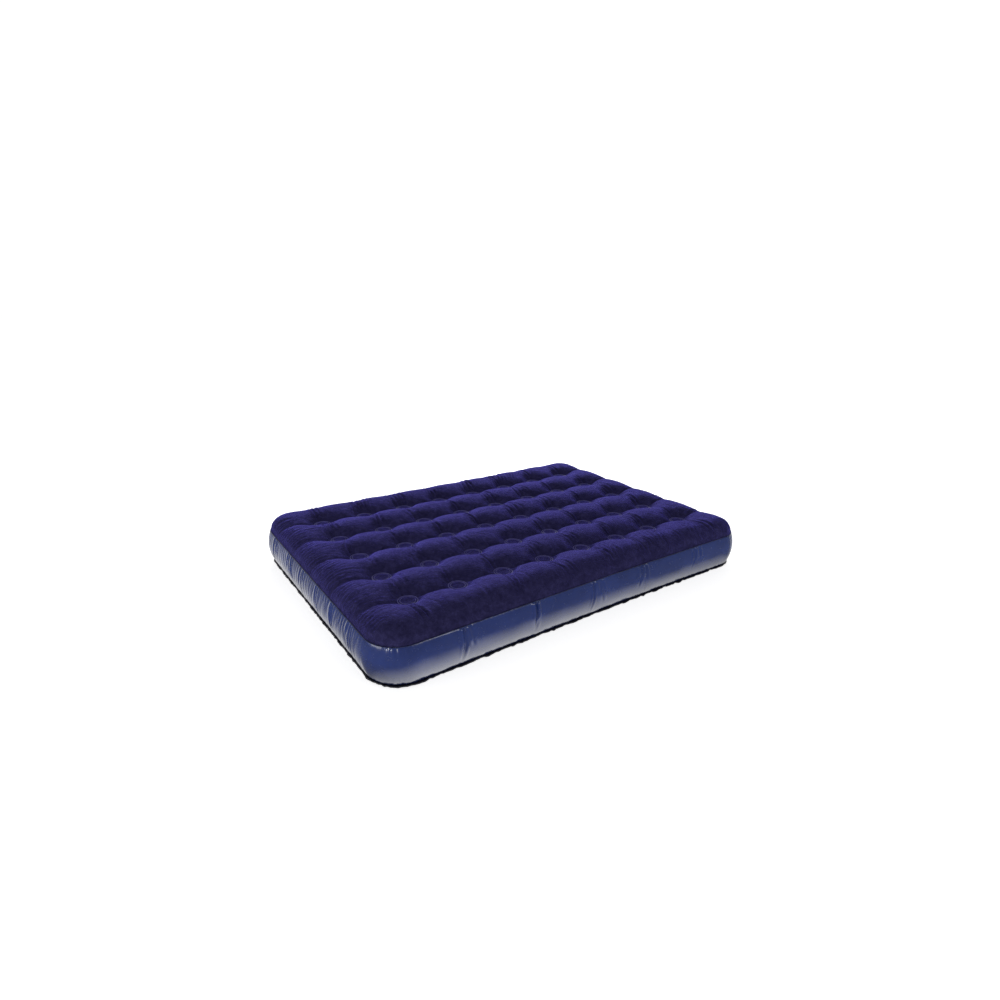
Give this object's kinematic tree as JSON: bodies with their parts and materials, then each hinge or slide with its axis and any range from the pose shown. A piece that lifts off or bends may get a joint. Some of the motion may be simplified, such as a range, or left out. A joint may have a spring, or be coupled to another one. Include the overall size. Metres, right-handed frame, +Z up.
{
  "type": "air mattress",
  "caption": "Double air mattress: flocked ridged top, vinyl side wall and underside, rolled coil beams inside, and a screw-in valve with a flip cap in one end wall.",
  "frame": {"origin": "middle of the flat underside, on the floor", "axes": "+X along the bed towards the end wall with the valve, +Y across the bed, +Z up"},
  "size_m": [1.925, 1.3698, 0.2233],
  "materials": {
    "flocked_pvc": "matte",
    "side_pvc": "gloss",
    "bottom_pvc": "satin",
    "coil_pvc": "satin",
    "valve_pvc": "satin",
    "seal_rubber": "matte"
  },
  "bodies": {
    "envelope": {"side_wall": "side_pvc", "bottom_sheet": "bottom_pvc", "coil_beam_r1_c1": "coil_pvc", "coil_beam_r1_c2": "coil_pvc", "coil_beam_r1_c3": "coil_pvc", "coil_beam_r1_c4": "coil_pvc", "coil_beam_r1_c5": "coil_pvc", "coil_beam_r1_c6": "coil_pvc", "coil_beam_r1_c7": "coil_pvc", "coil_beam_r1_c8": "coil_pvc", "coil_beam_r2_c1": "coil_pvc", "coil_beam_r2_c2": "coil_pvc", "coil_beam_r2_c3": "coil_pvc", "coil_beam_r2_c4": "coil_pvc", "coil_beam_r2_c5": "coil_pvc", "coil_beam_r2_c6": "coil_pvc", "coil_beam_r2_c7": "coil_pvc", "coil_beam_r2_c8": "coil_pvc", "coil_beam_r3_c1": "coil_pvc", "coil_beam_r3_c2": "coil_pvc", "coil_beam_r3_c3": "coil_pvc", "coil_beam_r3_c4": "coil_pvc", "coil_beam_r3_c5": "coil_pvc", "coil_beam_r3_c6": "coil_pvc", "coil_beam_r3_c7": "coil_pvc", "coil_beam_r3_c8": "coil_pvc", "coil_beam_r4_c1": "coil_pvc", "coil_beam_r4_c2": "coil_pvc", "coil_beam_r4_c3": "coil_pvc", "coil_beam_r4_c4": "coil_pvc", "coil_beam_r4_c5": "coil_pvc", "coil_beam_r4_c6": "coil_pvc", "coil_beam_r4_c7": "coil_pvc", "coil_beam_r4_c8": "coil_pvc", "coil_beam_r5_c1": "coil_pvc", "coil_beam_r5_c2": "coil_pvc", "coil_beam_r5_c3": "coil_pvc", "coil_beam_r5_c4": "coil_pvc", "coil_beam_r5_c5": "coil_pvc", "coil_beam_r5_c6": "coil_pvc", "coil_beam_r5_c7": "coil_pvc", "coil_beam_r5_c8": "coil_pvc", "valve_base": "valve_pvc"},
    "sleeping_surface": {"top_sheet": "flocked_pvc"},
    "valve_seal": {"valve_gasket": "seal_rubber"},
    "valve_collar": {"valve_body": "valve_pvc"},
    "valve_stopper": {"valve_cap": "valve_pvc", "valve_cap_strap": "valve_pvc"},
    "check_flap": {"valve_check_flap": "seal_rubber"}
  },
  "joints": [
    {"name": "surface_press", "type": "slide", "parent": "envelope", "child": "sleeping_surface", "axis": [0, 0, -1], "range_m": [0, 0.05], "stiffness_N_per_m": 16000, "deforming": ["side_wall", "coil_beam_r1_c1", "coil_beam_r1_c2", "coil_beam_r1_c3", "coil_beam_r1_c4", "coil_beam_r1_c5", "coil_beam_r1_c6", "coil_beam_r1_c7", "coil_beam_r1_c8", "coil_beam_r2_c1", "coil_beam_r2_c2", "coil_beam_r2_c3", "coil_beam_r2_c4", "coil_beam_r2_c5", "coil_beam_r2_c6", "coil_beam_r2_c7", "coil_beam_r2_c8", "coil_beam_r3_c1", "coil_beam_r3_c2", "coil_beam_r3_c3", "coil_beam_r3_c4", "coil_beam_r3_c5", "coil_beam_r3_c6", "coil_beam_r3_c7", "coil_beam_r3_c8", "coil_beam_r4_c1", "coil_beam_r4_c2", "coil_beam_r4_c3", "coil_beam_r4_c4", "coil_beam_r4_c5", "coil_beam_r4_c6", "coil_beam_r4_c7", "coil_beam_r4_c8", "coil_beam_r5_c1", "coil_beam_r5_c2", "coil_beam_r5_c3", "coil_beam_r5_c4", "coil_beam_r5_c5", "coil_beam_r5_c6", "coil_beam_r5_c7", "coil_beam_r5_c8"]},
    {"name": "collar_lift", "type": "slide", "parent": "envelope", "child": "valve_seal", "axis": [1, 0, 0], "range_m": [0, 0.006]},
    {"name": "collar_turn", "type": "hinge", "parent": "valve_seal", "child": "valve_collar", "pos_m": [0.955, 0.4, 0.076], "axis": [1, 0, 0], "range_deg": [0, 720]},
    {"name": "cap_flip", "type": "hinge", "parent": "valve_collar", "child": "valve_stopper", "pos_m": [0.9668, 0.4, 0.0992], "axis": [0, -1, 0], "range_deg": [0, 170]},
    {"name": "flap_swing", "type": "hinge", "parent": "valve_collar", "child": "check_flap", "pos_m": [0.9543, 0.4, 0.088], "axis": [0, 1, 0], "range_deg": [0, 60]}
  ],
  "couplings": [
    {"joint": "collar_lift", "follows": "collar_turn", "m_per_rad": 0.000477}
  ]
}
